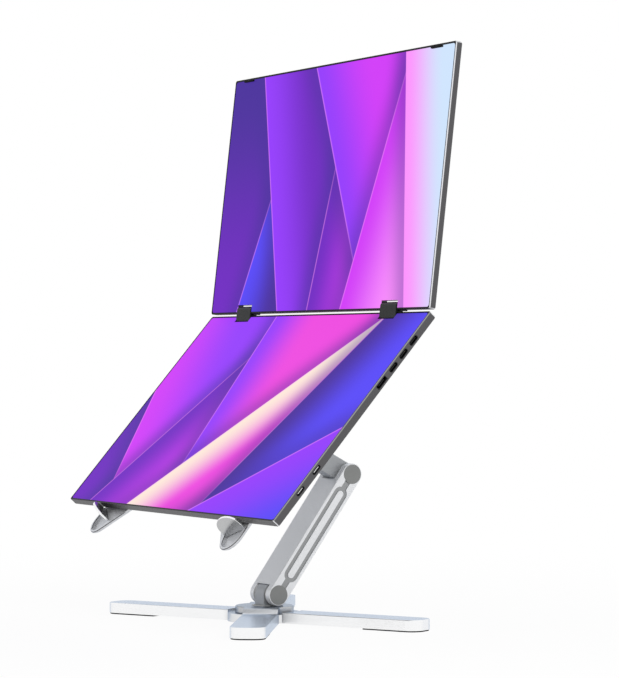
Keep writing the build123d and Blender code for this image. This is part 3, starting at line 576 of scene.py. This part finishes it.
def circuit_board(name, panel):
    """Green solder mask with copper tracks under it."""
    g = Graph(name)
    lane = (g.along(panel.up) * LANES).fraction()
    track = abs(lane - 0.5).ramp(*TRACK_SIDE) * g.noise(scale=90.0).ramp(*TRACK_BREAK)
    base = g.mix(TRACK_STRENGTH * track, BOARD_GREEN, TRACK_GREEN)
    return g.surface(base_color=base, roughness=0.35 + 0.2 * track)


# Folded sheets of each picture, laid over the ones before: turn in degrees, edge and reach in
# screen heights, and the colours at the edge and at the end of the reach
UPPER_SHEETS = (
    (-24, -0.62, 0.30, "blue", "indigo"),
    (18, -0.30, 0.40, "violet", "purple"),
    (-12, -0.06, 0.40, "purple", "magenta"),
    (30, 0.34, 0.40, "violet", "magenta"),
    (-20, 0.20, 0.42, "magenta", "blush"),
    (10, 0.70, 0.28, "blush", "ice"),
)
LOWER_SHEETS = (
    (28, -0.52, 0.50, "magenta", "violet"),
    (-30, -0.62, 0.46, "purple", "magenta"),
    (12, -0.10, 0.36, "violet", "rose"),
    (-44, -0.26, 0.26, "cream", "rose"),
    (-20, 0.22, 0.34, "indigo", "blue"),
    (-58, 0.10, 0.40, "violet", "blue"),
)

# Changes at the edge of a sheet, in screen heights past it
SHEET_EDGE = (0.0, 0.004)
SHEET_SHADE = (-0.20, 0.0)              # shade on the sheets before
SHADE_STRENGTH = 0.5
SHADE_FALL = 2.0
FOLD_START = (0.0, 0.003)               # pale line along the fold
FOLD_END = (0.004, 0.012)
FOLD_STRENGTH = 0.45

GLASS_BLACK = (0.006, 0.006, 0.008)
UNLIT = (0, 0, 0)
DISPLAY_CORNER = 2.5 * MM               # radius at the corners of the lit picture
PICTURE_CORNER = (DISPLAY_CORNER - 0.1 * MM, DISPLAY_CORNER)


def display(name, panel, look, sheets):
    """Lit display behind coated glass, with a generic picture of folded sheets."""
    g = Graph(name)
    across = g.along(panel.right, panel.origin) / panel.height
    up = g.along(panel.up, panel.origin) / panel.height
    picture = g.mix(up.ramp(0.0, 1.0), look.purple, look.indigo)
    for turn, edge, reach, near, far in sheets:
        past = cos(radians(turn)) * across + sin(radians(turn)) * up - edge
        picture = g.mix(SHADE_STRENGTH * past.ramp(*SHEET_SHADE) ** SHADE_FALL, picture, look.indigo)
        sheet = g.mix(past.ramp(0.0, reach), getattr(look, near), getattr(look, far))
        picture = g.mix(past.ramp(*SHEET_EDGE), picture, sheet)
        line = past.ramp(*FOLD_START) * (1 - past.ramp(*FOLD_END))
        picture = g.mix(FOLD_STRENGTH * line, picture, look.blush)
    wide = (abs(across) - (panel.width / 2 - DISPLAY_CORNER) / panel.height).most(0.0)
    high = (abs(up - 0.5) - (0.5 - DISPLAY_CORNER / panel.height)).most(0.0)
    corner = (wide * wide + high * high) ** 0.5 * panel.height
    picture = g.mix(corner.ramp(*PICTURE_CORNER), picture, UNLIT)
    return g.surface(base_color=GLASS_BLACK, roughness=0.35, specular_ior_level=0.01,
                     emission_color=picture, emission_strength=1.0)


# Small fittings

def slot_shape(width, length, height):
    """Maker of a round-ended pad."""
    def draw(tree):
        wide = tree.size("Width", width)
        long = tree.size("Length", length)
        high = tree.size("Height", height)
        outline = tree.node("GeometryNodeCurvePrimitiveQuadrilateral", None, {"Width": wide, "Height": long})
        rounding = {"Curve": outline, "Count": ROUND_STEPS, "Radius": ROUND_SHARE * wide.least(long)}
        curve = tree.node("GeometryNodeFilletCurve", {"mode": "POLY"}, rounding)
        face = tree.node("GeometryNodeFillCurve", {"mode": "NGONS"}, {"Curve": curve})
        raised = tree.node("GeometryNodeExtrudeMesh", {"mode": "FACES"}, {"Mesh": face, "Offset Scale": high})
        under = tree.node("GeometryNodeFlipFaces", None, {"Mesh": face})
        return tree.node("GeometryNodeMergeByDistance", None, {"Geometry": tree.joined(raised, under)})
    return draw


def round_shape(sides, radius, height):
    """Maker of a disc or a prism."""
    def draw(tree):
        reach = tree.size("Radius", radius)
        deep = tree.size("Height", height)
        sockets = {"Vertices": sides, "Radius": reach, "Depth": deep}
        return tree.node("GeometryNodeMeshCylinder", {"fill_type": "NGON"}, sockets)
    return draw


def strip_shape(width, depth, length):
    """Maker of a flat strip."""
    def draw(tree):
        wide = tree.size("Width", width)
        deep = tree.size("Depth", depth)
        long = tree.size("Length", length)
        size = tree.node("ShaderNodeCombineXYZ", None, {0: wide, 1: deep, 2: long})
        return tree.node("GeometryNodeMeshCube", None, {"Size": size})
    return draw


def repeat(name, draw, grid, spans, material, place):
    """Copies of a shape on a grid, as one plain mesh in its place."""
    tree = Tree(name)
    shape = draw(tree)
    points = tree.node("GeometryNodeMeshGrid", None, {
        "Size X": tree.size("Span across", spans[0]),
        "Size Y": tree.size("Span up", spans[1]),
        "Vertices X": tree.size("Columns", grid[0], "NodeSocketInt"),
        "Vertices Y": tree.size("Rows", grid[1], "NodeSocketInt"),
    })
    copies = tree.node("GeometryNodeInstanceOnPoints", None, {"Points": points, "Instance": shape})
    return tree.mesh(name, copies, material, place)


def fit(piece, body):
    """Fastens a small fitting to its body."""
    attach(piece, body)


# Stage, in metres, watts and degrees

FLOOR_SIZE = 40.0
FLOOR_COLOUR = (0.86, 0.86, 0.87)
FLOOR_GLOW_SHARE = 0.93                 # of the floor near the object, so that its shadow stays
FLOOR_FADE = (0.1, 0.9)                 # out from the middle of the floor
WHITE = (1, 1, 1)
WORLD_LIGHT = 0.55
WORLD_SEEN = 1.0                        # by the camera and in reflections
LAMP_AIM = Vector((0.0, 0.0, 0.22))
LAMPS = (                               # name, place, power and size
    ("key_lamp", (2.7, -0.2, 1.9), 44.0, 1.8),
    ("fill_lamp", (-2.0, -2.0, 1.6), 10.0, 2.2),
    ("back_lamp", (-0.6, 2.4, 2.0), 22.0, 1.8),
)
CAMERA_PLACE = (1.97515, -1.03711, 0.20976)
CAMERA_AZIMUTH = 61.39
CAMERA_PITCH = 0.31
CAMERA_LENS = 150.8                     # lens and sensor are in millimetres
CAMERA_SENSOR = 36.0
CAMERA_REACH = 100.0


def of_rays(g, *kinds):
    """1 for light rays of these kinds, else 0."""
    rays = g.node("ShaderNodeLightPath").socket.node.outputs
    first, *others = (Varying(g, rays[f"Is {kind} Ray"]) for kind in kinds)
    return sum(others, first)


def lay_floor(context):
    """Pale floor that fades into the background and keeps the shadow."""
    half = FLOOR_SIZE / 2
    mesh = bpy.data.meshes.new("floor")
    corners = [(-half, -half, 0), (half, -half, 0), (half, half, 0), (-half, half, 0)]
    mesh.from_pydata(corners, [], [(0, 1, 2, 3)])
    floor = bpy.data.objects.new("floor", mesh)
    context.scene.collection.objects.link(floor)
    g = Graph("floor_paper")
    paper = g.node("ShaderNodeBsdfDiffuse", None, {"Color": solid(FLOOR_COLOUR)})
    glow = g.node("ShaderNodeEmission", None, {"Color": solid(WHITE), "Strength": 1.0})
    away = g.vector("LENGTH", g.place(), out="Value")
    share = FLOOR_GLOW_SHARE + (1 - FLOOR_GLOW_SHARE) * away.ramp(*FLOOR_FADE)
    seen = of_rays(g, "Camera", "Glossy", "Transmission")
    mesh.materials.append(g.end(g.node("ShaderNodeMixShader", None, {0: share * seen, 1: paper, 2: glow})))


def light_world(context):
    """White background with a softer light of its own."""
    world = bpy.data.worlds.new("studio")
    context.scene.world = world
    world.use_nodes = True
    g = Nodes(world.node_tree)
    seen = of_rays(g, "Camera", "Glossy")
    level = g.node("ShaderNodeMapRange", None, {0: seen, 3: WORLD_LIGHT, 4: WORLD_SEEN})
    sky = g.node("ShaderNodeBackground", None, {"Color": solid(WHITE), "Strength": level})
    g.node("ShaderNodeOutputWorld", None, {"Surface": sky})


def hang_lamp(context, name, place, power, size):
    """Soft square lamp that looks at the object; it is kept out of reflections, which would burn out."""
    lamp = bpy.data.lights.new(name, "AREA")
    lamp.energy = power
    lamp.size = size
    obj = bpy.data.objects.new(name, lamp)
    obj.location = place
    obj.visible_glossy = False
    obj.rotation_euler = (LAMP_AIM - Vector(place)).to_track_quat("-Z", "Y").to_euler()
    context.scene.collection.objects.link(obj)


def set_camera(context):
    """Camera at the photograph's viewing angle."""
    data = bpy.data.cameras.new("camera")
    data.sensor_fit = "VERTICAL"
    data.sensor_height = CAMERA_SENSOR
    data.lens = CAMERA_LENS
    data.clip_end = CAMERA_REACH
    camera = bpy.data.objects.new("camera", data)
    camera.location = CAMERA_PLACE
    camera.rotation_euler = (radians(90 + CAMERA_PITCH), 0, radians(CAMERA_AZIMUTH))
    context.scene.collection.objects.link(camera)
    context.scene.camera = camera


# Operators

class MONITOR_OT_displays(bpy.types.Operator):
    """Light both displays"""
    bl_idname = "monitor.displays"
    bl_label = "Displays"

    def execute(self, context):
        look = context.scene.monitor_display
        dress(display("upper_picture", UPPER, look, UPPER_SHEETS), "upper_lcd_panel")
        dress(display("lower_picture", LOWER, look, LOWER_SHEETS), "lower_lcd_panel")
        dress(moulded_plastic("light_guide", GUIDE_WHITE, rough=0.25), "lower_backlight", "upper_backlight")
        return {"FINISHED"}


class MONITOR_OT_cases(bpy.types.Operator):
    """Finish the cases, bezels, hinges, sockets and keys"""
    bl_idname = "monitor.cases"
    bl_label = "Cases"

    def execute(self, context):
        look = context.scene.monitor_case
        stand = context.scene.monitor_stand
        # The edge colours paint highlights, dim on the lower case and bright on the upper; the upper case's
        # underside takes painted shade
        dress(case_metal("lower_case", LOWER, look, edge=look.rim_highlight, underside_shade=look.body), "lower_rear_cover")
        dress(case_metal("upper_case", UPPER, look, edge=look.edge, underside_shade=look.bezel), "upper_rear_cover")
        dress(moulded_plastic("bezel_black", look.bezel, rough=0.42, shine=0.1),
              "lower_bezel", "upper_bezel", "button_switches")
        dress(plain_metal("hinge_metal", look.hinge, rough=0.44, shine=0.9),
              "left_hinge_block", "right_hinge_block", "upper_hinge_leaves")
        # Socket shells dark as painted shade in their openings
        dress(plain_metal("socket_metal", look.socket, rough=0.35), "usb_c_ports", "hdmi_port")
        dress(moulded_plastic("key_black", look.key, rough=0.55, shine=0.1), "power_button", "menu_button")
        dress(plain_metal("hinge_steel", stand.steel, rough=0.35),
              "lower_hinge_leaves", "lower_hinge_pins", "lower_hinge_rivets",
              "upper_hinge_pins", "upper_hinge_rivets")
        dress(circuit_board("lower_board", LOWER), "main_board", "port_board", "button_board")
        dress(circuit_board("upper_board", UPPER), "driver_board")
        return {"FINISHED"}


class MONITOR_OT_stand(bpy.types.Operator):
    """Finish the stand"""
    bl_idname = "monitor.stand"
    bl_label = "Stand"

    def execute(self, context):
        look = context.scene.monitor_stand
        bright = {"tint": look.beam, "rough": 0.25, "shine": 0.95, "slant": BEAM_SLANT}
        satin = {"rough": 0.36, "shine": 0.35}
        # The beams darken near the hub with painted shade and reflection
        dress(blasted_aluminium("base_metal", mask=hub_shade_mask(HUB_SHADE_BRIDGE), second=look.hub, **bright),
              "base_beam")
        dress(blasted_aluminium("cross_metal", mask=hub_shade_mask(HUB_SHADE_BOSS), second=look.boss, **bright),
              "cross_beam")
        dress(blasted_aluminium("arm_metal", look.metal, mask=groove_floor, second=look.groove, **satin),
              "lower_arm")
        # Darker copy of the arm's aluminium, painted shade on the upper arm and the knuckle
        dress(blasted_aluminium("link_metal", look.link, **satin), "upper_arm", "swivel_knuckle")
        # The tips of the tray take a painted dark reflection
        dress(blasted_aluminium("tray_metal", look.tray, rough=0.38, shine=0.5,
                                mask=tip_reflection_mask, second=look.tip_reflection),
              "tray", "tray_bracket")
        dress(turned_cap("cap_paint", look.cap), "arm_caps", "tray_caps")
        dress(polished_hook("left_hook", -1, look), "left_hook")
        dress(polished_hook("right_hook", 1, look), "right_hook")
        dress(plain_metal("shaft_steel", look.steel, rough=0.30),
              "pivot_bolt", "base_hinge_shaft", "elbow_shaft", "tray_shaft", "bracket_screws", "hook_pins")
        dress(moulded_rubber("foot_rubber", look.rubber),
              "base_feet", "cross_feet", "centre_foot", "tray_pads", "upper_bumpers")
        dress(moulded_plastic("washer_nylon", look.nylon, rough=0.5),
              "pivot_washer", "swivel_washer", "base_hinge_washers", "elbow_washers", "tray_washers")
        return {"FINISHED"}


class MONITOR_OT_housing_fittings(bpy.types.Operator):
    """Add the vents and screws of the rear housing; black pads paint the shade in the vents and the screws'
    sockets
    """
    bl_idname = "monitor.housing_fittings"
    bl_label = "Housing fittings"

    def execute(self, context):
        sizes = context.scene.monitor_fittings
        # Black pads paint the shade inside the vent slots and the screws' sockets
        shade_black = moulded_plastic("vent_black", context.scene.monitor_case.bezel, rough=0.7)
        steel = plain_metal("housing_screw_steel", context.scene.monitor_stand.steel, rough=0.35)
        slots = slot_shape(sizes.vent_width, sizes.vent_length, INLAY)
        grid = (sizes.vents_across, VENT_ROWS)
        spans = (sizes.vent_pitch * (sizes.vents_across - 1), VENT_ROW_PITCH)
        place = LOWER.place(0, VENT_HEIGHT - DISPLAY_INSET, PANEL_RECESS - LOWER_DEPTH, facing=-1)
        fit(repeat("housing_vents", slots, grid, spans, shade_black, place), "lower_screen")
        place = LOWER.place(0, HOUSING_MIDDLE - DISPLAY_INSET, -HOUSING_BACK, facing=-1)
        heads = round_shape(SCREW_SIDES, sizes.screw_radius, SCREW_HEIGHT)
        fit(repeat("housing_screws", heads, FOUR_CORNERS, SCREW_SPANS, steel, place), "lower_screen")
        sockets = round_shape(HEX_SIDES, sizes.screw_radius * HEX_SHARE, SCREW_HEIGHT + INLAY)
        fit(repeat("housing_screw_sockets", sockets, FOUR_CORNERS, SCREW_SPANS, shade_black, place),
            "lower_screen")
        return {"FINISHED"}


class MONITOR_OT_contacts(bpy.types.Operator):
    """Add the gilt contacts of the sockets"""
    bl_idname = "monitor.contacts"
    bl_label = "Socket contacts"

    def execute(self, context):
        gilt = plain_metal("contact_gilt", context.scene.monitor_case.contact, rough=0.3)
        strips = strip_shape(context.scene.monitor_fittings.contact_width, INLAY, CONTACT_LENGTH)
        spans = (CONTACT_SPAN, TONGUE_THICKNESS)
        for number, drop in enumerate(SOCKET_DROPS, start=1):
            place = LOWER.side_seat(CONTACT_INSET, SCREEN_HEIGHT - drop, PANEL_RECESS - LOWER_DEPTH / 2)
            piece = repeat(f"socket_contacts_{number}", strips, CONTACT_GRID, spans, gilt, place)
            fit(piece, "lower_screen")
        return {"FINISHED"}


class MONITOR_OT_key_highlights(bpy.types.Operator):
    """Add bright strips that paint the keys' highlights"""
    bl_idname = "monitor.key_ridges"
    bl_label = "Key ridges"

    def execute(self, context):
        sizes = context.scene.monitor_fittings
        # Bright strips that paint the keys' highlights
        bright = plain_metal("ridge_metal", context.scene.monitor_stand.rim_highlight, rough=0.3)
        highlight_strip = strip_shape(sizes.highlight_length, sizes.highlight_width, 2 * INLAY)
        for body, rise in zip(("power_key", "menu_key"), BUTTON_RISES):
            place = LOWER.side_seat(BUTTON_RECESS, rise, PANEL_RECESS - LOWER_DEPTH / 2 + sizes.highlight_width)
            fit(repeat(body + "_ridge", highlight_strip, SINGLE, (0, 0), bright, place), body)
        return {"FINISHED"}


class MONITOR_OT_bracket_sockets(bpy.types.Operator):
    """Add black prisms that paint the shade in the six-sided sockets of the bracket's screws"""
    bl_idname = "monitor.bracket_sockets"
    bl_label = "Bracket sockets"

    def execute(self, context):
        # Black prisms paint the shade inside the screws' sockets
        shade_black = moulded_plastic("socket_black", context.scene.monitor_case.bezel, rough=0.6)
        at = joint_place("tray_tilt") + LOWER.out * BRACKET_HEADS + LOWER.up * BRACKET_MIDDLE
        place = LOWER.seat(at, facing=-1)
        sockets = round_shape(HEX_SIDES, BRACKET_HEAD_RADIUS * HEX_SHARE, 2 * INLAY)
        fit(repeat("bracket_sockets", sockets, FOUR_CORNERS, BRACKET_SPANS, shade_black, place),
            "cradle")
        return {"FINISHED"}


class MONITOR_OT_cover_feet(bpy.types.Operator):
    """Add the rubber feet of the upper cover"""
    bl_idname = "monitor.cover_feet"
    bl_label = "Cover feet"

    def execute(self, context):
        sizes = context.scene.monitor_fittings
        rubber = moulded_rubber("cover_rubber", context.scene.monitor_stand.rubber)
        pads = slot_shape(sizes.foot_length, sizes.foot_width, sizes.foot_height)
        place = UPPER.place(0, SCREEN_HEIGHT / 2 - DISPLAY_INSET, PANEL_RECESS - UPPER_DEPTH, facing=-1)
        fit(repeat("cover_feet", pads, FOUR_CORNERS, FOOT_SPANS, rubber, place),
            "upper_screen")
        return {"FINISHED"}


class MONITOR_OT_stage(bpy.types.Operator):
    """Set the floor, the lamps and the camera"""
    bl_idname = "monitor.stage"
    bl_label = "Stage"

    def execute(self, context):
        lay_floor(context)
        light_world(context)
        for name, place, power, size in LAMPS:
            hang_lamp(context, name, place, power, size)
        set_camera(context)
        context.scene.view_settings.view_transform = "Standard"
        return {"FINISHED"}


class MONITOR_PT_panel(bpy.types.Panel):
    """Steps that dress the monitor"""
    bl_idname = "MONITOR_PT_panel"
    bl_label = "Two-screen monitor"
    bl_space_type = "VIEW_3D"
    bl_region_type = "UI"
    bl_category = "Monitor"

    def draw(self, context):
        for step in STEPS:
            self.layout.operator(step.bl_idname)


STEPS = (MONITOR_OT_displays, MONITOR_OT_cases, MONITOR_OT_stand, MONITOR_OT_housing_fittings,
         MONITOR_OT_contacts, MONITOR_OT_key_highlights, MONITOR_OT_bracket_sockets, MONITOR_OT_cover_feet,
         MONITOR_OT_stage)
GROUPS = {
    "monitor_display": DisplayLook,
    "monitor_case": CaseLook,
    "monitor_stand": StandLook,
    "monitor_fittings": FittingSizes,
}


def register():
    """Adds the looks and sizes, the operators and the panel."""
    for name, group in GROUPS.items():
        bpy.utils.register_class(group)
        setattr(bpy.types.Scene, name, PointerProperty(type=group))
    for step in STEPS + (MONITOR_PT_panel,):
        bpy.utils.register_class(step)


def unregister():
    """Takes them away again."""
    for step in STEPS + (MONITOR_PT_panel,):
        bpy.utils.unregister_class(step)
    for name, group in GROUPS.items():
        delattr(bpy.types.Scene, name)
        bpy.utils.unregister_class(group)


def main():
    """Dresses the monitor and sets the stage."""
    register()
    bpy.ops.monitor.displays()
    bpy.ops.monitor.cases()
    bpy.ops.monitor.stand()
    bpy.ops.monitor.housing_fittings()
    bpy.ops.monitor.contacts()
    bpy.ops.monitor.key_ridges()
    bpy.ops.monitor.bracket_sockets()
    bpy.ops.monitor.cover_feet()
    bpy.ops.monitor.stage()


if __name__ == "__main__":
    main()
